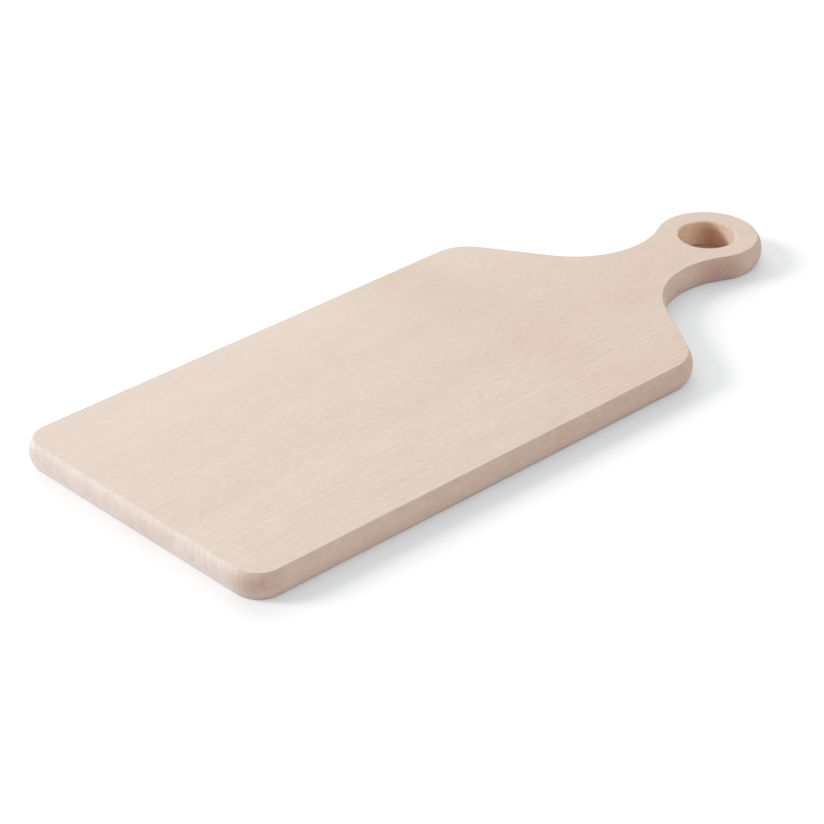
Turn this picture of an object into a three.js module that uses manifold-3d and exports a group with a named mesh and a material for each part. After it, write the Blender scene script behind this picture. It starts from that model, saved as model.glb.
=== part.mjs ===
// Cutting board with a handle, cut in one piece from a plank of beech.
// Millimetres, +Z up. The origin is under the middle of the board's length, on the underside,
// and +X runs along the grain from the plain end to the handle.

import * as THREE from 'three';
import { mergeVertices } from 'three/addons/utils/BufferGeometryUtils.js';
import Module from 'manifold-3d';

// Blade: the flat part that is cut on. Outline sizes are taken at half thickness, where the
// board is widest.
const boardLength = 390; // from the plain end to the tip of the handle
const boardWidth = 160;
const boardThickness = 13;
const sideBulge = 2.2; // how far the sides swell past the corner that they make with a face
const arrisRadius = 0.5; // softening of that corner
const cornerRadius = 14; // corners of the plain end, seen from above
const shoulderRadius = 23; // turn from each side into its shoulder
const shoulderSlope = THREE.MathUtils.degToRad(57.5); // shoulder against the side

// Handle: a waisted neck that swells into a round eye
const neckWidth = 37; // narrowest place
const neckRadius = 43.5; // hollow curve from the shoulder to the eye
const eyeDiameter = 53.5;
const holeDiameter = 28;
const holeSetback = 0.5; // hole's centre, from the eye's centre towards the blade
const holeRimRadius = 1; // rounding of the hole's rim, above and below

// Fineness of the facets
const arcSegments = 20; // on each arc of the outline
const sideSegments = 8; // from one arris of the side to the other
const arrisSegments = 3;
const holeSegments = 60;
const rimSegments = 3;

const beech = new THREE.MeshStandardMaterial({ color: 0xe4d1bf, roughness: 0.7, metalness: 0 });

// Places that follow from the sizes above
const quarterTurn = Math.PI / 2;
const halfWidth = boardWidth / 2;
const halfThickness = boardThickness / 2;
const plainEndX = -boardLength / 2;
const eyeRadius = eyeDiameter / 2;
const eyeX = boardLength / 2 - eyeRadius;
const holeX = eyeX - holeSetback;

// The neck's hollow touches the eye's circle, so their centres lie both radii apart.
const neckY = neckWidth / 2 + neckRadius;
const neckX = eyeX - Math.sqrt((neckRadius + eyeRadius) ** 2 - neckY ** 2);
const neckToEye = Math.atan2(-neckY, eyeX - neckX);

// The straight shoulder leaves the hollow at its foot. The shoulder's arc lies one radius
// inside both the side and the shoulder.
const shoulderNormal = new THREE.Vector2(Math.sin(shoulderSlope), Math.cos(shoulderSlope));
const shoulderFoot = new THREE.Vector2(neckX, neckY).addScaledVector(shoulderNormal, -neckRadius);
const shoulderY = halfWidth - shoulderRadius;
const shoulderDrop = shoulderRadius + (shoulderY - shoulderFoot.y) * shoulderNormal.y;
const shoulderX = shoulderFoot.x - shoulderDrop / shoulderNormal.x;

// Outline, seen from above

function sideArcs() {
  // The arcs of the +Y side in order, from the plain end to the tip, each tangent to the next.
  return [
    {
      x: plainEndX + cornerRadius,
      y: halfWidth - cornerRadius,
      radius: cornerRadius,
      from: Math.PI,
      to: quarterTurn,
    },
    {
      x: shoulderX,
      y: shoulderY,
      radius: shoulderRadius,
      from: quarterTurn,
      to: quarterTurn - shoulderSlope,
    },
    {
      x: neckX,
      y: neckY,
      radius: neckRadius,
      from: -quarterTurn - shoulderSlope,
      to: neckToEye,
      hollow: true,
    },
    {
      x: eyeX,
      y: 0,
      radius: eyeRadius,
      from: neckToEye + Math.PI,
      to: 0,
    },
  ];
}

function mirrored(arc) {
  // The same arc on the -Y side, walked from the tip to the plain end.
  return { ...arc, y: -arc.y, from: -arc.to, to: -arc.from };
}

function outlinePoints(inset) {
  // The outline drawn in by an inset: each arc keeps its centre, and its radius changes. Straight
  // sides, shoulders and the plain end are the gaps from one arc to the next. Counterclockwise.
  const sameSpot = 1e-6;
  const side = sideArcs();
  const arcs = [...side, ...side.map(mirrored).reverse()];
  const points = arcs.flatMap(({ x, y, radius, from, to, hollow }) => {
    const drawnIn = hollow ? radius + inset : radius - inset;
    return new THREE.ArcCurve(x, y, drawnIn, from, to, to < from).getPoints(arcSegments);
  });
  const distinct = points.filter((point, i) => point.distanceTo(points.at(i - 1)) > sameSpot);
  return distinct.reverse();
}

// Section through a side: a convex arc from face to face, with a small arris arc at each end.
// A point is its inset from the widest line and its height.

function sideSection() {
  const sideRadius = (halfThickness ** 2 + sideBulge ** 2) / (2 * sideBulge);
  const arrisHeight = halfThickness - arrisRadius;
  const arrisInset = sideRadius - Math.sqrt((sideRadius - arrisRadius) ** 2 - arrisHeight ** 2);
  const meeting = Math.asin(arrisHeight / (sideRadius - arrisRadius));
  const arc = (inset, height, radius, from, to, segments) =>
    new THREE.ArcCurve(inset, halfThickness + height, radius, from, to, true).getPoints(segments);
  const lower = -quarterTurn;
  const left = -Math.PI;
  const upper = lower - Math.PI;
  return [
    ...arc(arrisInset, -arrisHeight, arrisRadius, lower, left + meeting, arrisSegments),
    ...arc(sideRadius, 0, sideRadius, left + meeting, left - meeting, sideSegments).slice(1, -1),
    ...arc(arrisInset, arrisHeight, arrisRadius, left - meeting, upper, arrisSegments),
  ];
}

// Plank: a skin through one outline for each point of the section, with a flat face at each end

function plankGeometry() {
  const rings = sideSection().map(({ x: inset, y: height }) =>
    outlinePoints(inset).map(({ x, y }) => new THREE.Vector3(x, y, height)),
  );
  const ringLength = rings[0].length;
  const index = [];
  for (let level = 1; level < rings.length; level += 1) {
    const below = (level - 1) * ringLength;
    for (let i = 0; i < ringLength; i += 1) {
      const a = below + i;
      const b = below + ((i + 1) % ringLength);
      index.push(a, b, b + ringLength);
      index.push(a, b + ringLength, a + ringLength);
    }
  }
  const top = (rings.length - 1) * ringLength;
  for (const [a, b, c] of THREE.ShapeUtils.triangulateShape(rings[0], [])) {
    index.push(c, b, a);
    index.push(top + a, top + b, top + c);
  }
  return new THREE.BufferGeometry().setFromPoints(rings.flat()).setIndex(index);
}

// Cutter for the hang hole: a shaft that flares into a round rim at each face

function holeCutterGeometry() {
  const overshoot = boardThickness;
  const holeRadius = holeDiameter / 2;
  const flareRadius = holeRadius + holeRimRadius;
  const rim = (height, from, to) =>
    new THREE.ArcCurve(flareRadius, height, holeRimRadius, from, to, true).getPoints(rimSegments);
  const profile = [
    new THREE.Vector2(0, -overshoot),
    new THREE.Vector2(flareRadius, -overshoot),
    ...rim(holeRimRadius, -quarterTurn, -Math.PI),
    ...rim(boardThickness - holeRimRadius, Math.PI, quarterTurn),
    new THREE.Vector2(flareRadius, boardThickness + overshoot),
    new THREE.Vector2(0, boardThickness + overshoot),
  ];
  const cutter = new THREE.LatheGeometry(profile, holeSegments);
  return cutter.rotateX(quarterTurn).translate(holeX, 0, 0);
}

// Solids for the cut

const wasm = await Module();
wasm.setup();

function solidFrom(geometry) {
  geometry.deleteAttribute('normal');
  geometry.deleteAttribute('uv');
  const merged = mergeVertices(geometry);
  return new wasm.Manifold(
    new wasm.Mesh({
      numProp: 3,
      vertProperties: new Float32Array(merged.attributes.position.array),
      triVerts: new Uint32Array(merged.index.array),
    }),
  );
}

function geometryFrom(solid) {
  const mesh = solid.getMesh();
  const geometry = new THREE.BufferGeometry();
  geometry.setAttribute('position', new THREE.BufferAttribute(mesh.vertProperties, 3));
  geometry.setIndex(new THREE.BufferAttribute(mesh.triVerts, 1));
  geometry.computeVertexNormals();
  return geometry;
}

// The board

const boardSolid = solidFrom(plankGeometry()).subtract(solidFrom(holeCutterGeometry()));
const board = new THREE.Mesh(geometryFrom(boardSolid), beech);
board.name = 'board';

const cuttingBoard = new THREE.Group();
cuttingBoard.name = 'cutting_board';
cuttingBoard.add(board);

export default cuttingBoard;
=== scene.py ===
# %% [markdown]
# # A beech cutting board with a handle
#
# The real board is sawn from one plank: a flat blade to cut on, two sloping shoulders, a waisted
# neck and a round eye with a hole to hang it by. Nothing is fastened to it and nothing moves.
# This lesson makes it as one closed surface, worked out with numpy, and then gives it the colour
# and grain of raw, sanded beech.
#
# The packed solid is the frame for everything here. Its origin lies on the underside, in the
# middle of the length, +X runs along the grain to the handle and +Z points up. Blender counts in
# metres.

import bpy
import numpy as np
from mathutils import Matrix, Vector


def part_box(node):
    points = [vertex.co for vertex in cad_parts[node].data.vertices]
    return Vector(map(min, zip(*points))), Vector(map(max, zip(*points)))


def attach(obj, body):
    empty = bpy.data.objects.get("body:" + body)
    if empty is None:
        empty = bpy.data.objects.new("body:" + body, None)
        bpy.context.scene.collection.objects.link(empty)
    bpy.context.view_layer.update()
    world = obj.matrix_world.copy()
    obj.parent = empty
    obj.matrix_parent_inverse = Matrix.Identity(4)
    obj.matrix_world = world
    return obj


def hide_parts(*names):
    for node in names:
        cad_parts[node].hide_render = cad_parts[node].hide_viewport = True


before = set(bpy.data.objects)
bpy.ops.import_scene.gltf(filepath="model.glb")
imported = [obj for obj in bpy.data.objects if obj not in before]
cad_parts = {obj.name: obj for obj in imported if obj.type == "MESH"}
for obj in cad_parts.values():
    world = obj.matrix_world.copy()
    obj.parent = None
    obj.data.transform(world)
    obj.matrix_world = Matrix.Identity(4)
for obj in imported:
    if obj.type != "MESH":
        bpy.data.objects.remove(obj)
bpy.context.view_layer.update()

# %% [markdown]
# ## Sizes
#
# Length, width and thickness are read from the packed solid, so the surface can't outgrow it. The
# other sizes can't be read from a box. They are written here in millimetres, as on a drawing.
# Outline sizes are taken at half thickness, where the board is widest.

# %% Sizes
MM = 0.001
low, high = (np.array(corner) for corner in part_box("board"))
length, width, thickness = high - low

side_bulge = 2.2 * MM  # how far the sides swell past the corner that they make with a face
arris_radius = 0.5 * MM  # softening of that corner
corner_radius = 14 * MM  # corners of the plain end, seen from above
shoulder_radius = 23 * MM  # turn from each side into its shoulder
shoulder_slope = np.radians(57.5)  # shoulder against the side
neck_width = 37 * MM
neck_radius = 43.5 * MM  # hollow curve from the shoulder to the eye
eye_radius = 53.5 * MM / 2
hole_radius = 28 * MM / 2
hole_setback = 0.5 * MM  # hole's centre, from the eye's centre towards the blade
hole_rim_radius = 1 * MM
print("board in mm:", np.round(np.array([length, width, thickness]) / MM, 2))

# %% [markdown]
# ## Outline
#
# A joiner draws this outline with a straight edge and a compass: corner, side, shoulder, hollow
# neck and eye are arcs and straights that touch without a kink. A freehand curve would need
# many points and would still wobble, so the same arcs are worked out here. Only the +Y side is
# needed, because the board is the same on both sides.

# %% Arcs of the outline
QUARTER_TURN = np.pi / 2
half_width = width / 2
eye_x = high[0] - eye_radius
hole_x = eye_x - hole_setback

# The hollow touches the eye's circle, so their centres lie both radii apart.
neck_y = neck_width / 2 + neck_radius
neck_x = eye_x - np.sqrt((neck_radius + eye_radius) ** 2 - neck_y**2)
neck_to_eye = np.arctan2(-neck_y, eye_x - neck_x)

# The shoulder's arc lies one radius inside both the side and the straight shoulder.
shoulder_normal = np.array([np.sin(shoulder_slope), np.cos(shoulder_slope)])
shoulder_foot = np.array([neck_x, neck_y]) - neck_radius * shoulder_normal
shoulder_y = half_width - shoulder_radius
shoulder_drop = shoulder_radius + (shoulder_y - shoulder_foot[1]) * shoulder_normal[1]
shoulder_x = shoulder_foot[0] - shoulder_drop / shoulder_normal[0]

# Centre x and y, radius, first and last angle, and 1 where the centre lies in the wood or -1
# where it lies outside
side_arcs = [
    (low[0] + corner_radius, half_width - corner_radius, corner_radius, np.pi, QUARTER_TURN, 1),
    (shoulder_x, shoulder_y, shoulder_radius, QUARTER_TURN, QUARTER_TURN - shoulder_slope, 1),
    (neck_x, neck_y, neck_radius, -QUARTER_TURN - shoulder_slope, neck_to_eye, -1),
    (eye_x, 0, eye_radius, neck_to_eye + np.pi, 0, 1),
]
centres = np.array(side_arcs)[1:, :2] / MM
print("shoulder, neck and eye centres in mm:", np.round(centres, 2).tolist())

# %% Walk along the outline
ARC_STEP = 1.1 * MM
STRAIGHT_STEP = 4 * MM
SPARE = 0.01  # of a step, so that a rounding error doesn't add one


def side_outline():
    """Points of the +Y side and their outward normals, from the plain end to the tip.

    On an arc, a point is the centre plus the radius times (cos angle, sin angle), at equal
    angles. Between two arcs, it goes in equal steps along the straight that touches both.
    """
    points, normals = np.empty((0, 2)), np.empty((0, 2))
    for x, y, radius, first, last, bulge in side_arcs:
        turns = int(np.ceil(abs(last - first) * radius / ARC_STEP))
        angle = np.linspace(first, last, turns + 1)
        spoke = np.column_stack([np.cos(angle), np.sin(angle)])
        arc, facing = np.array([x, y]) + radius * spoke, bulge * spoke
        if len(points):
            gap = arc[0] - points[-1]
            steps = int(np.ceil(np.linalg.norm(gap) / STRAIGHT_STEP - SPARE))
            share = np.linspace(0, 1, steps + 1)[1:, None]
            points = np.concatenate([points, points[-1] + share * gap])
            normals = np.concatenate([normals, np.repeat(facing[:1], steps, axis=0)])
            arc, facing = arc[1:], facing[1:]
        points = np.concatenate([points, arc])
        normals = np.concatenate([normals, facing])
    return points, normals


side_points, side_normals = side_outline()
print("stations along one side:", len(side_points))

# %% [markdown]
# ## Sections
#
# Cut the board across and look at its side: it isn't flat. It swells outwards in one shallow arc
# from face to face, and only the last half millimetre at each face is rounded, so the edge
# catches the light as a crisp line. A bevel modifier would round the edge in a quarter circle
# instead. Here the section is written as three numbers for each point: the inset from the widest
# line, the height, and the tilt of the surface's normal, 90 degrees for straight up.

# %% Section of the sides
ARRIS_STEPS = 5
SIDE_STEPS = 18
half_thickness = thickness / 2
side_radius = (half_thickness**2 + side_bulge**2) / (2 * side_bulge)
arris_height = half_thickness - arris_radius
arris_inset = side_radius - np.sqrt((side_radius - arris_radius) ** 2 - arris_height**2)
meeting = np.arcsin(arris_height / (side_radius - arris_radius))


def side_section():
    """Inset, height and tilt from the upper face to the lower one.

    The side is an arc with its inset equal to radius times (1 - cos tilt). Each arris is a small
    arc about a centre just inside the face, and both arcs have the same tilt where they meet.
    """
    upper = np.linspace(QUARTER_TURN, meeting, ARRIS_STEPS + 1)[:-1]
    middle = np.linspace(meeting, -meeting, SIDE_STEPS + 1)
    lower = -upper[::-1]
    arris = np.concatenate([upper, lower])
    arris_insets = arris_inset - arris_radius * np.cos(arris)
    arris_heights = np.sign(arris) * arris_height + arris_radius * np.sin(arris)
    split = len(upper)
    inset = np.insert(arris_insets, split, side_radius * (1 - np.cos(middle)))
    height = np.insert(arris_heights, split, side_radius * np.sin(middle))
    return inset, half_thickness + height, np.insert(arris, split, middle)


print("flat face begins", np.round(arris_inset / MM, 3), "mm inside the widest line")

# %% Section of the hang hole
RIM_STEPS = 6


def hole_section():
    """Inset, height and tilt down the bored hole: straight, with a round rim at each face.

    On a rim, the inset is the rim's radius times (1 - cos tilt), and the height goes with
    sin tilt.
    """
    tilt = np.linspace(QUARTER_TURN, 0, RIM_STEPS + 1)
    tilt = np.concatenate([tilt, -tilt[::-1]])
    inset = hole_rim_radius * (1 - np.cos(tilt))
    centre = np.repeat([thickness - hole_rim_radius, hole_rim_radius], RIM_STEPS + 1)
    return inset, centre + hole_rim_radius * np.sin(tilt), tilt


def carried(path, outward, section):
    """A section carried along a path: a grid of points and a grid of normals.

    A point is the path's point minus the outward direction times the inset, at the section's
    height. Its normal is outward times cos tilt, plus up times sin tilt.
    """
    inset, height, tilt = section
    drawn_in = path[:, None, :] - outward[:, None, :] * inset[None, :, None]
    leaning = outward[:, None, :] * np.cos(tilt)[None, :, None]
    shape = drawn_in.shape[:2]
    points = np.dstack([drawn_in, np.broadcast_to(height, shape)])
    return points, np.dstack([leaning, np.broadcast_to(np.sin(tilt), shape)])


hole_points = len(hole_section()[0])
print("hole in mm:", np.round(2 * hole_radius / MM, 2), "points in its section:", hole_points)

# %% [markdown]
# ## Faces
#
# The cutting face and the underside are flat, with a hole through them. Blender could fill them
# with one many-sided polygon, but such a face is split into long slivers when it is shaded and
# exported. Straight rulings make an even grid instead. Along the blade and the neck each ruling
# runs from the centre line straight out to the outline. From the hole onwards it starts on the
# hole's rim, and turns until the last ruling runs from the hole to the tip.

# %% Rulings of one half face
FACE_ROWS = 16
face_share = np.linspace(0, 1, FACE_ROWS + 1)
flat_outline = side_points - arris_inset * side_normals
rim_circle = hole_radius + hole_rim_radius

at_hole = flat_outline[:, 0] >= hole_x - rim_circle
walked = np.linalg.norm(np.diff(flat_outline[at_hole], axis=0), axis=1).cumsum()
hole_angle = np.pi * (1 - np.append(0, walked) / walked[-1])
hole_spoke = np.column_stack([np.cos(hole_angle), np.sin(hole_angle)])
inner_line = flat_outline * [1, 0]
inner_line[at_hole] = np.array([hole_x, 0]) + rim_circle * hole_spoke


def half_face(height, facing):
    """Points of the +Y half of a face: inner line plus a share of the way to the outline."""
    across = (flat_outline - inner_line)[:, None, :] * face_share[None, :, None]
    plan = inner_line[:, None, :] + across
    points = np.dstack([plan, np.full(plan.shape[:2], height)])
    return points, np.broadcast_to([0.0, 0.0, facing], points.shape)


print("rulings of a half face:", len(flat_outline), "of which on the hole:", int(at_hole.sum()))

# %% [markdown]
# ## One closed skin
#
# Two faces, the side all round and the wall of the hole are four sets of grids. They meet in the
# same points with the same normals, so they can be welded into one skin with no seam. A Weld
# modifier could do that too, but here the count of faces on each edge is checked on the spot.

# %% Weld the grids
WELD = 1e-7


def mirrored(patch):
    """The same grid on the other side of the length: y changes its sign."""
    points, normals = patch
    return points * [1, -1, 1], normals * [1, -1, 1]


def welded(patches):
    """One mesh from grids: each cell is a face, and points in one place become one point.

    A cell's own direction is the cross product of its diagonals. Where that is against the
    grid's normals, the cell's corners are taken in the opposite order.
    """
    all_points = np.concatenate([points.reshape(-1, 3) for points, _ in patches])
    all_normals = np.concatenate([normals.reshape(-1, 3) for _, normals in patches])
    faces, start = [], 0
    for points, normals in patches:
        number = start + np.arange(points[..., 0].size).reshape(points.shape[:2])
        cell = np.dstack([number[:-1, :-1], number[1:, :-1], number[1:, 1:], number[:-1, 1:]])
        direction = np.cross(points[1:, 1:] - points[:-1, :-1], points[:-1, 1:] - points[1:, :-1])
        against = np.sum(direction * normals[:-1, :-1]) < 0
        faces.append(cell.reshape(-1, 4)[:, :: -1 if against else 1])
        start += number.size
    key = np.round(all_points / WELD).astype(np.int64)
    _, kept, place = np.unique(key, axis=0, return_index=True, return_inverse=True)
    return all_points[kept], all_normals[kept], place.reshape(-1)[np.concatenate(faces)]


# The plain end joins the two sides, in the same steps as the first ruling of a face.
end_y = side_points[0, 1] * face_share[:-1]
end_points = np.column_stack([np.full(FACE_ROWS, low[0]), end_y])
end_normals = np.tile([-1.0, 0.0], (FACE_ROWS, 1))
half_path = np.concatenate([end_points, side_points])
half_normals = np.concatenate([end_normals, side_normals])
hole_path = np.array([hole_x, 0]) + hole_radius * hole_spoke

half_patches = [
    half_face(thickness, 1.0),
    half_face(0.0, -1.0),
    carried(half_path, half_normals, side_section()),
    carried(hole_path, -hole_spoke, hole_section()),
]
points, normals, faces = welded(half_patches + [mirrored(patch) for patch in half_patches])

next_corners = np.roll(faces, -1, axis=1)
edges = np.sort(np.dstack([faces, next_corners]).reshape(-1, 2), axis=1)
uses = np.unique(edges, axis=0, return_counts=True)[1]
print("faces:", len(faces), "edges not used twice:", int((uses != 2).sum()))

# %% [markdown]
# ## The board
#
# The skin becomes a mesh. Its normals are known from the formulas and are given to it as they
# are, so the crisp arris stays crisp and the wide faces stay flat, which averaged normals
# wouldn't do. Three attributes tell the wood how it was cut: across the grain at the plain end,
# along it at the sides, or bored. The piece stands for the packed solid and rides on its one body.

# %% Make the board
mesh = bpy.data.meshes.new("beech_board")
mesh.from_pydata(points.tolist(), [], faces.tolist(), shade_flat=False)
mesh.normals_split_custom_set_from_vertices(normals.tolist())

from_axis = np.hypot(points[:, 0] - hole_x, points[:, 1])
cuts = {
    "end_grain": normals[:, 0] ** 2,
    "side_grain": normals[:, 1] ** 2,
    "bored": np.clip((rim_circle - from_axis) / hole_rim_radius, 0, 1),
}
for name, share in cuts.items():
    attribute = mesh.attributes.new(name, "FLOAT", "POINT")
    attribute.data.foreach_set("value", share.astype(np.float32))

board = bpy.data.objects.new("beech_board", mesh)
bpy.context.scene.collection.objects.link(board)
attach(board, "root")
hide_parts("board")
print("points:", len(mesh.vertices), "triangles:", 2 * len(mesh.polygons))

# %% [markdown]
# ## Writing shaders as sums
#
# A wood shader has many small steps: stretch, add, multiply. Placing such nodes by hand is slow
# to write and hard to read. One small class wraps a socket instead. Python's operators on it add
# Math nodes, so `1 - mask` is a node too, and one method makes any other kind of node.


# %% Sockets with arithmetic
class Flow:
    """A socket of a node tree that values flow out of."""

    def __init__(self, tree, socket=None):
        self.tree = tree
        self.socket = socket

    def node(self, kind, settings=None, inputs=None, output=0):
        """A new node: its settings are set first, then its sockets get values or links."""
        made = self.tree.nodes.new(kind)
        for name, value in (settings or {}).items():
            setattr(made, name, value)
        for name, value in (inputs or {}).items():
            if isinstance(value, Flow):
                self.tree.links.new(value.socket, made.inputs[name])
            else:
                made.inputs[name].default_value = value
        return Flow(self.tree, None if output is None else made.outputs[output])

    def math(self, operation, *terms):
        """A Math node on one or more terms, each a number or a Flow."""
        return self.node("ShaderNodeMath", {"operation": operation}, dict(enumerate(terms)))

    def __add__(self, other):
        return self.math("ADD", self, other)

    def __radd__(self, other):
        return self.math("ADD", other, self)

    def __sub__(self, other):
        return self.math("SUBTRACT", self, other)

    def __rsub__(self, other):
        return self.math("SUBTRACT", other, self)

    def __mul__(self, other):
        return self.math("MULTIPLY", self, other)

    def __rmul__(self, other):
        return self.math("MULTIPLY", other, self)

    def __truediv__(self, other):
        return self.math("DIVIDE", self, other)

    def __rtruediv__(self, other):
        return self.math("DIVIDE", other, self)

    def __pow__(self, other):
        return self.math("POWER", self, other)

    def __rpow__(self, other):
        return self.math("POWER", other, self)


print("reflected operators:", [name for name in vars(Flow) if name.startswith("__r")])


# %% Helpers for patterns
def stretched(place, size):
    """Coordinates in which one unit is as long as the pattern's size along each axis."""
    scale = tuple(1 / side for side in size)
    return place.node("ShaderNodeVectorMath", {"operation": "MULTIPLY"}, {0: place, 1: scale})


def cloud(place, size, detail=1.0):
    """Smooth noise about zero, from about -0.5 to 0.5, with blobs of the given size."""
    inputs = {"Vector": stretched(place, size), "Scale": 1.0, "Detail": detail}
    return place.node("ShaderNodeTexNoise", {}, inputs) - 0.5


def step_up(value, start, end):
    """0 below start, 1 above end, and a smooth S between them."""
    settings = {"interpolation_type": "SMOOTHSTEP"}
    inputs = {"Value": value, "From Min": start, "From Max": end}
    return value.node("ShaderNodeMapRange", settings, inputs)


def step_down(value, start, end):
    """1 below start, 0 above end, and a smooth S between them."""
    return 1 - step_up(value, start, end)


def near(value, centre, reach):
    """1 where a value is at a centre, falling to 0 at the reach on both sides."""
    return step_down(value.math("ABSOLUTE", value - centre), 0, reach)


def spot(first, second, centre, reach):
    """1 at a centre, falling to 0 at an oval whose half axes are the reach."""
    across = ((first - centre[0]) / reach[0]) ** 2 + ((second - centre[1]) / reach[1]) ** 2
    return step_down(across, 0.0, 1.0)


def blended(factor, first, second, kind="MIX"):
    """Colours mixed by a factor, where kind is Blender's way of mixing them."""
    settings = {"data_type": "RGBA", "blend_type": kind, "clamp_factor": True}
    return factor.node("ShaderNodeMix", settings, {0: factor, 6: first, 7: second}, output=2)


def glazed(colour, *layers):
    """A colour with thin tints laid over it, each multiplied in where its mask is 1."""
    for mask, tint in layers:
        colour = blended(mask, colour, tint, "MULTIPLY")
    return colour


masks = (step_up, step_down, near, spot)
print("masks to build with:", [mask.__name__ for mask in masks])

# %% [markdown]
# ## Where the plank sat in the tree
#
# The plain end shows the growth rings as arcs. They lean from the back's upper edge to the
# front's lower edge and grow flatter to the back, so the heart of the tree lay behind and below
# the board. The shader counts from that heart: how far out, how far round, and how far along. One
# pattern in those three numbers then gives lines on the faces, arcs on the end and short
# flecks on the sides, all in the right places, as in a real block of wood.

# %% Coordinates in the tree
HEART_Y = 140.0  # of the rings, in millimetres from the board's origin
HEART_Z = -58.0
MEAN_RING = 160.0  # radius that turns an angle into millimetres round the ring
GRAIN_BOW = 1.6  # how far the grain bends over half the length
WAVER = 3.0  # how strongly the rings stray from true circles

beech = bpy.data.materials.new("beech")
beech.use_nodes = True
tree = beech.node_tree
tree.nodes.clear()
wood = Flow(tree)

metres = wood.node("ShaderNodeTexCoord", output="Object")
place = stretched(metres, (MM, MM, MM))
apart = place.node("ShaderNodeSeparateXYZ", {}, {0: place})
x, y, z = (Flow(tree, apart.socket.node.outputs[axis]) for axis in "XYZ")
along = x / (high[0] / MM)  # -1 at the plain end, 1 at the tip
aside = y / (half_width / MM)  # -1 at the front, 1 at the back

from_heart_y = y - HEART_Y
from_heart_z = z - HEART_Z
waver = WAVER * cloud(place, size=(150, 60, 60))
ring = (from_heart_y**2 + from_heart_z**2) ** 0.5 + GRAIN_BOW * along**2 + waver
around = MEAN_RING * wood.math("ARCTAN2", from_heart_z, from_heart_y)
grain = wood.node("ShaderNodeCombineXYZ", {}, {"X": x, "Y": ring, "Z": around})
print("heart of the rings in mm:", (HEART_Y, HEART_Z))

# %% [markdown]
# ## Beech
#
# Beech is a pale, even wood. Each ring ends in a thin line that is a little darker, fine fibres
# run along the length, and the rays of the tree show as small darker flecks where they are cut.
# The contrast is low, and more would look like oak. An image of wood would have to be wrapped
# round the edges. Noise that is stretched along the grain needs no wrapping, and it runs on
# through the block.

# %% Rings, fibres and flecks
RING_SPACING = 3.2
RING_DRIFT = 1.5  # how strongly the count of rings strays
LATE_START, LATE_PEAK = 0.45, 0.9  # share of a ring where its dark line begins and is darkest
LINE_LEVEL, LINE_FADING = 0.55, 2.2  # mean strength of the dark lines, and how much they fade
FLECK_LEVEL = (0.08, 0.24)  # of the noise, between which a fleck comes up
PORE_LEVEL = (0.1, 0.22)
FLECK_LOSS = 0.65  # share of the flecks' strength that is lost to the back

# Sizes on grain are along it, across the rings and round them, in millimetres.
ring_count = ring / RING_SPACING + RING_DRIFT * cloud(grain, size=(300, 8, 200))
in_ring = wood.math("FRACT", ring_count)
late_wood = step_up(in_ring, LATE_START, LATE_PEAK) * step_down(in_ring, LATE_PEAK, 1.0)
clearness = LINE_LEVEL + LINE_FADING * cloud(grain, size=(160, 7, 60))
late_wood = late_wood * wood.math("MAXIMUM", clearness, 0)

fibres = cloud(grain, size=(38, 0.6, 0.6), detail=2.0)
dashes = cloud(grain, size=(4.2, 1.4, 1.4), detail=2.0)
stripes = cloud(grain, size=(400, 13, 60))
mottle = cloud(grain, size=(30, 2.6, 5), detail=2.0)
blotches = cloud(place, size=(75, 30, 30), detail=2.0)
shimmer = cloud(place, size=(14, 9, 9), detail=4.0)

fading = 1 - FLECK_LOSS * step_up(y, 5, 50)
flecks = step_up(cloud(grain, size=(2.8, 18, 0.36)), *FLECK_LEVEL) * fading
pores = step_up(cloud(grain, size=(1.8, 0.16, 0.16)), *PORE_LEVEL)
print("ring spacing in mm:", RING_SPACING)

# %% [markdown]
# ## Tone
#
# The plank's tone drifts. It is paler at the back and at the plain end, deeper and redder to the
# front and to the handle, and it changes in wavy bands along the board. A colour ramp over one
# noise would scatter such changes anywhere. Here each has its place, and all of them add up to
# one number between pale and deep.

# %% Tone of the wood
PALE = (0.773, 0.662, 0.573, 1)
DEEP = (0.697, 0.567, 0.474, 1)
MEAN_TONE = 0.6
TIP_TONE = 0.42  # added at the tip
BACK_TONE = -0.24  # added at the back
BACK_EDGE_TONE = 0.35  # added on a stretch of the back edge
ROSY_TONE = 0.24  # added across the blade, before the shoulders
BLOTCH_TONE = 0.5
STRIPE_TONE = 0.5
BAND_WAVE = 8  # how strongly the bands wave
ROSY_WAVE = 40
# Bands: y where a change of tone begins and ends, in millimetres, and how much deeper it gets
BANDS = [(-66, -54, -0.2), (-34, -20, 0.28), (-10, 2, -0.16), (42, 60, -0.15)]

tone = MEAN_TONE + TIP_TONE * along + BACK_TONE * aside
tone = tone + BLOTCH_TONE * blotches + STRIPE_TONE * stripes
wavy = y + BAND_WAVE * blotches
for start, end, deeper in BANDS:
    tone = tone + deeper * step_up(wavy, start, end)
back_edge = spot(x, y, centre=(18, 74), reach=(40, 35))
rosy = near(x + ROSY_WAVE * blotches, centre=36, reach=30)
tone = tone + BACK_EDGE_TONE * back_edge + ROSY_TONE * rosy
bare_colour = blended(tone, PALE, DEEP)
print("pale and deep beech:", PALE[:3], DEEP[:3])
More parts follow.
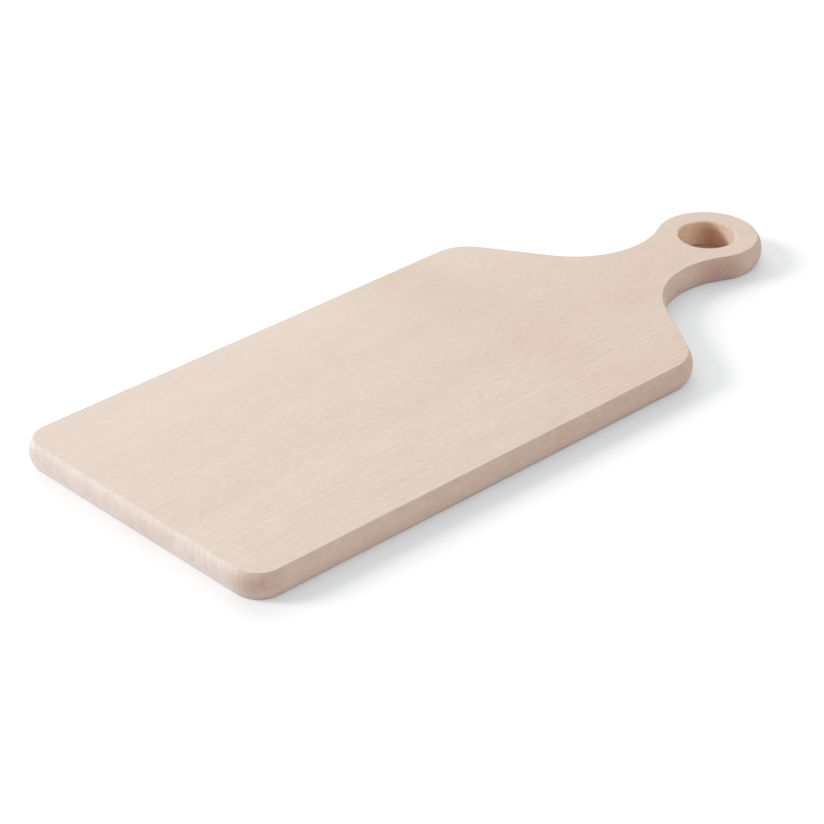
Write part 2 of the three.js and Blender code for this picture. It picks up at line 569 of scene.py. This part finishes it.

# %% [markdown]
# ## Figure
#
# Fibres, ring lines, flecks and pores darken the bare colour a little. The cut matters as well:
# the plain end is cut across the grain, so it is mottled and cooler. Its upper edge carries a
# painted highlight where the end curves up to the lamps, and its foot is painted lighter and bluer
# as bounce light from the floor. The sides take painted shade: the front, which lies in shade, is
# redder, and the back, which the lamps light, is darker. All of this is thin glazes, each with a
# mask, so that each can be changed by itself.

# %% Figure of the wood
SHADE = (0.905, 0.895, 0.885, 1)  # fibres, dashes and ring lines
FLECK = (0.975, 0.955, 0.94, 1)
PORE = (0.96, 0.945, 0.935, 1)
FRONT_SHADE_TINT = (1.055, 0.955, 0.93, 1)  # painted shade on the sides, redder on the shaded front
# Painted shade: darker on the back side, where the lamps light it
BACK_SHADE_TINT = (0.86, 0.84, 0.83, 1)
END = (0.965, 0.963, 1.02, 1)  # plain end
# Painted highlight at the plain end's upper edge, and painted floor bounce light at its foot
END_EDGE_LIGHT = (1.085, 1.115, 1.14, 1)
MEAN_SHADE = 0.37
FRONT_LINES, BACK_LINES = 0.7, 0.2  # strength of the ring lines
END_LINES = 0.25  # added on the plain end
FRONT_FIBRES, BACK_FIBRES = 1.75, 1.25  # strength of the fibres and dashes
SIDE_FIBRES = 0.5  # added on the sides
LONG_SHARE = 0.8  # long fibres beside short dashes
SHIMMER_SHARE = 0.7
MOTTLE_SHARE = 3.0

end_grain, side_grain, bored = (
    wood.node("ShaderNodeAttribute", {"attribute_name": name}, output="Fac") for name in cuts
)
outer_end = end_grain * (1 - bored)
outer_side = side_grain * (1 - bored)

line_strength = FRONT_LINES + (BACK_LINES - FRONT_LINES) * step_up(y, -55, -5)
line_strength = line_strength + END_LINES * end_grain
fibre_strength = FRONT_FIBRES + (BACK_FIBRES - FRONT_FIBRES) * step_up(y, 5, 60)
fibre_strength = fibre_strength + SIDE_FIBRES * side_grain
figure = MEAN_SHADE + fibre_strength * (LONG_SHARE * fibres + dashes) + SHIMMER_SHARE * shimmer
figure = figure + line_strength * late_wood + MOTTLE_SHARE * end_grain * mottle

# Painted shade on the sides: redder on the shaded front, darker on the lit back
painted_side_shade = blended(step_up(y, -20, 20), FRONT_SHADE_TINT, BACK_SHADE_TINT)
# Painted highlight near the end's upper edge, painted bounce light near its foot
painted_end_light = outer_end * (step_up(z, 9.4, 12.4) + step_down(z, 1.2, 6))
figured_colour = glazed(
    bare_colour,
    (figure, SHADE),
    (flecks, FLECK),
    (pores, PORE),
    (outer_side, painted_side_shade),
    (outer_end, END),
    (painted_end_light, END_EDGE_LIGHT),
)
print("cuts that the wood knows:", list(cuts))

# %% [markdown]
# ## Small marks
#
# A real board is never blank. This one has a pin knot on the blade, a yellowish patch on the back
# edge and a dark speck on the side of the neck. The walls are darker and browner at the front
# corner, most towards its upper edge, and where the hollow turns into the eye. Their foot is
# painted greyer, as bounce light from the white floor. Such marks could be painted by hand on a
# texture, but a soft mask at a measured place stays sharp at any size.

# %% Marks on the faces and sides
KNOT = (0.84, 0.77, 0.70, 1)
PATCH = (0.97, 0.97, 0.86, 1)
SPECK = (0.62, 0.48, 0.42, 1)
BROWNER = (0.79, 0.70, 0.67, 1)
# Painted bounce light from the floor, lighter and bluer at the foot of the walls
FOOT_BOUNCE_LIGHT = (1.0, 1.06, 1.13, 1)
CURVE_X = 152.5  # where the hollow turns into the eye, in millimetres
CORNER_LOW, CORNER_HIGH = 0.65, 1.1  # strength of the darker brown at the corner's foot and upper edge
KNOT_FRAY, PATCH_FRAY = 2, 20  # how strongly the fibres fray their edges

knot = spot(x + KNOT_FRAY * fibres, y, centre=(-24.7, -36.4), reach=(1.5, 0.9))
patch = spot(x + PATCH_FRAY * fibres, y, centre=(23, 76), reach=(7, 5)) * step_up(z, 8, 12)
front_of_neck = step_down(y, -17, -12)
speck = spot(x, z, centre=(126.2, 4.4), reach=(1.3, 1.0)) * front_of_neck

walls = outer_end + outer_side
front_corner = step_down(x, -196, -172) * step_down(y, -74, -56)
corner_strength = CORNER_LOW + (CORNER_HIGH - CORNER_LOW) * step_up(z, 3, 10)
browner_corner = front_corner * corner_strength * walls
browner_curve = near(x, CURVE_X, reach=20) * walls
# Painted bounce light at the foot of the walls
foot = step_down(z, 1, 6) * walls

marked_colour = glazed(
    figured_colour,
    (knot, KNOT),
    (patch, PATCH),
    (speck, SPECK),
    (browner_corner + browner_curve, BROWNER),
    (foot, FOOT_BOUNCE_LIGHT),
)
print("marks: knot, patch, speck, browned corner and curve, greyer foot")

# %% [markdown]
# ## The bore
#
# Light and shade in the hang hole are painted on its wall, which is a little lighter all round. A
# painted shadow of the rim lies dark brown on the side of the tip and climbs round the bore on a
# slant. To the back the wall is painted warmer, as bounce light, and the rounded rim is painted a
# little darker at the front, as shade. All of it depends on the angle round the bore's axis, so
# the shader works out that angle and the masks are steps along it.

# %% Colours of the bore
LIT = (1.05, 1.01, 1.02, 1)  # all round
WARM_BOUNCE = (1.19, 1.12, 0.97, 1)  # painted warm bounce light, to the back
BORE_SHADOW = (0.58, 0.40, 0.33, 1)  # painted shadow, to the tip
# Painted shade on the rounded rim
RIM_SHADE = (0.94, 0.93, 0.92, 1)
SHADOW_SLANT = 4.6  # degrees for each millimetre of height
SHADOW_FADING = 0.4  # how much weaker the painted shadow is near the upper rim

# Degrees round the bore, from the tip's direction to the back
degrees = wood.math("ARCTAN2", y, x - hole_x / MM) * np.degrees(1)
# Painted bounce light, warmer to the back of the bore
painted_warm_bounce = bored * step_up(degrees, -20, 50)
# Painted shadow of the rim on the wall
painted_bore_shadow = bored * step_down(degrees, 30, 90) * step_up(degrees - SHADOW_SLANT * z, -42, -14)
painted_bore_shadow = painted_bore_shadow * (1 - SHADOW_FADING * step_up(z, 8, 12))
# Painted shade on the rounded rim, towards the front
rim = 4 * bored * (1 - bored) * step_down(degrees, -10, 40)  # 1 half way round the rim's curve

colour = glazed(marked_colour, (bored, LIT), (painted_warm_bounce, WARM_BOUNCE), (painted_bore_shadow, BORE_SHADOW), (rim, RIM_SHADE))
print("scorch, darkest:", BORE_SHADOW[:3])

# %% [markdown]
# ## Finish
#
# The board is sanded and left raw, so it shines only faintly. Fibres and open pores make the
# gloss and the height uneven. They are far smaller than any face of the mesh, so a Bump node
# shows them, while every shape that can be seen stays in the mesh.

# %% Shader of the board
MEAN_ROUGHNESS = 0.66
SPECULAR = 0.3
BUMP_STRENGTH = 0.25
BUMP_HEIGHT = 0.12 * MM

roughness = MEAN_ROUGHNESS + 0.1 * fibres + 0.06 * pores
height = 0.5 * fibres - 0.6 * pores - 0.15 * late_wood
bump_inputs = {"Strength": BUMP_STRENGTH, "Distance": BUMP_HEIGHT, "Height": height}
bump = wood.node("ShaderNodeBump", {}, bump_inputs)
surface_inputs = {
    "Base Color": colour,
    "Roughness": roughness,
    "Specular IOR Level": SPECULAR,
    "Normal": bump,
}
surface = wood.node("ShaderNodeBsdfPrincipled", {}, surface_inputs)
wood.node("ShaderNodeOutputMaterial", {}, {"Surface": surface}, output=None)
mesh.materials.append(beech)
print("nodes in beech:", len(tree.nodes))

# %% [markdown]
# ## Floor
#
# The board lies on a plain white table. A floor of one white colour would do, but two things would
# look wrong. Its bounce would wash out the shaded side of the board, so the floor is greyer to
# bounced light than to the camera. And the wood's own bounce would warm the shadow, so the camera
# sees a slightly warm floor under a faint cool haze. Where the floor is lit, both add up to white,
# and in the shadow the haze weighs more. Under the hang hole, painted shade lies brown on the far
# side of the floor, next to the painted shadow on the wall.

# %% Floor
FLOOR_HALF = 4.0
FLOOR_Z = -0.02 * MM  # just under the board, so that the two don't share a plane
FLOOR_BOUNCE = (0.84, 0.84, 0.84, 1)
FLOOR_SHOWN = (0.958, 0.898, 0.867, 1)
FLOOR_HAZE = (0.064, 0.128, 0.159, 1)
# Painted shade on the floor under the hang hole
FLOOR_SHADE_IN_BORE = (0.48, 0.34, 0.26, 1)
CLEAR_CENTRE = (-0.44, -0.41)  # of the clear floor under the hole, in radii from its axis

corners = FLOOR_HALF * np.array([[-1, -1], [1, -1], [1, 1], [-1, 1]])
floor_points = np.column_stack([corners, np.full(len(corners), FLOOR_Z)])
floor_mesh = bpy.data.meshes.new("floor")
floor_mesh.from_pydata(floor_points.tolist(), [], [(0, 1, 2, 3)])
floor = bpy.data.objects.new("floor", floor_mesh)
bpy.context.scene.collection.objects.link(floor)
print("floor at", FLOOR_Z / MM, "mm")

# %% Shader of the floor
paper = bpy.data.materials.new("white_floor")
paper.use_nodes = True
paper.node_tree.nodes.clear()
sheet = Flow(paper.node_tree)
on_floor = sheet.node("ShaderNodeTexCoord", output="Object")


def radii_from(centre):
    """Distance on the floor from a point, counted in radii of the hang hole."""
    inputs = {0: on_floor, 1: (*centre, FLOOR_Z)}
    span = sheet.node("ShaderNodeVectorMath", {"operation": "DISTANCE"}, inputs, output="Value")
    return span / hole_radius


def diffuse(tint):
    """A matte surface of one colour."""
    return sheet.node("ShaderNodeBsdfDiffuse", {}, {"Color": tint})


hole_centre = np.array([hole_x, 0])
clear_centre = hole_centre + hole_radius * np.array(CLEAR_CENTRE)
under_hole = step_down(radii_from(hole_centre), 1.0, 1.2)
far_side = under_hole * step_up(radii_from(clear_centre), 1.0, 1.25)

haze = sheet.node("ShaderNodeEmission", {}, {"Color": FLOOR_HAZE, "Strength": 1.0})
hazy = sheet.node("ShaderNodeAddShader", {}, {0: diffuse(FLOOR_SHOWN), 1: haze})
# Painted shade, brown, on the far side of the floor under the hole
browned = diffuse(FLOOR_SHADE_IN_BORE)
shown = sheet.node("ShaderNodeMixShader", {}, {0: far_side, 1: hazy, 2: browned})
seen = sheet.node("ShaderNodeLightPath", output="Is Camera Ray")
either = sheet.node("ShaderNodeMixShader", {}, {0: seen, 1: diffuse(FLOOR_BOUNCE), 2: shown})
sheet.node("ShaderNodeOutputMaterial", {}, {"Surface": either}, output=None)
floor_mesh.materials.append(paper)
print("nodes in the floor:", len(paper.node_tree.nodes))

# %% [markdown]
# ## Light
#
# An even white sky does most of the work. Two broad lamps, behind on the left and behind on the
# right, give the soft shadow in front. Area lamps would light the near end more than the far one,
# so both are sun lamps with a wide disc. Together with the sky they light a level surface with a
# strength of about one, so colours come out about as they are written. The camera and all
# reflections see the sky as plain white.

# %% Sky
SKY = 0.66
WHITE = (1, 1, 1, 1)

world = bpy.data.worlds.new("studio")
bpy.context.scene.world = world
world.use_nodes = True
world.node_tree.nodes.clear()
air = Flow(world.node_tree)
rays = air.node("ShaderNodeLightPath").socket.node
straight, shiny, through = (
    Flow(world.node_tree, rays.outputs[name])
    for name in ("Is Camera Ray", "Is Glossy Ray", "Is Transmission Ray")
)
plain = air.math("MAXIMUM", straight, air.math("MAXIMUM", shiny, through))
sky_light = SKY + (1 - SKY) * plain
sky = air.node("ShaderNodeBackground", {}, {"Color": WHITE, "Strength": sky_light})
air.node("ShaderNodeOutputWorld", {}, {"Surface": sky}, output=None)
print("sky:", SKY)

# %% Lamps
# A lamp's bearing from +Y towards -X, its elevation and its spread, in degrees, and the light
# that it gives to a level surface
KEY = (44, 28, 24, 0.25)
FILL = (-32, 22, 60, 0.135)


def broad_lamp(name, bearing, elevation, spread, level):
    """A sun lamp with a wide disc, which lights every place alike."""
    turn, rise = np.radians([bearing, elevation])
    towards = Vector((-np.sin(turn) * np.cos(rise), np.cos(turn) * np.cos(rise), np.sin(rise)))
    lamp = bpy.data.lights.new(name, "SUN")
    lamp.energy = np.pi * level / np.sin(rise)
    lamp.angle = np.radians(spread)
    holder = bpy.data.objects.new(name, lamp)
    holder.rotation_euler = towards.to_track_quat("Z", "Y").to_euler()
    bpy.context.scene.collection.objects.link(holder)


broad_lamp("key", *KEY)
broad_lamp("fill", *FILL)
print("light on a level surface:", round(SKY + KEY[-1] + FILL[-1], 3))

# %% [markdown]
# ## Camera
#
# The photograph was taken from in front of the plain end, from about thirty degrees above the
# table, with a long lens that keeps the sides almost parallel. Its direction and distance come
# from fitting the outline to the photograph's edges.

# %% Camera
SENSOR = 36  # width in millimetres
LENS = 129.05
AZIMUTH = np.radians(-43.517)
ELEVATION = np.radians(30.557)
DISTANCE = 1.33096
AIM = Vector((-0.04008, -0.00823, -0.0003))

lens = bpy.data.cameras.new("camera")
lens.lens = LENS
lens.sensor_width = SENSOR
camera = bpy.data.objects.new("camera", lens)
reach = np.cos(ELEVATION)
backwards = Vector((np.sin(AZIMUTH) * reach, -np.cos(AZIMUTH) * reach, np.sin(ELEVATION)))
camera.location = AIM + DISTANCE * backwards
camera.rotation_euler = backwards.to_track_quat("Z", "Y").to_euler()
bpy.context.scene.collection.objects.link(camera)
bpy.context.scene.camera = camera
bpy.context.scene.view_settings.view_transform = "Standard"
print("camera at", tuple(round(value, 4) for value in camera.location))

# %% [markdown]
# ## Finish
#
# The visual model has to stay inside the packed solid's box. At the end the view layer is brought
# up to date.

# %% Update the view layer
bpy.context.view_layer.update()
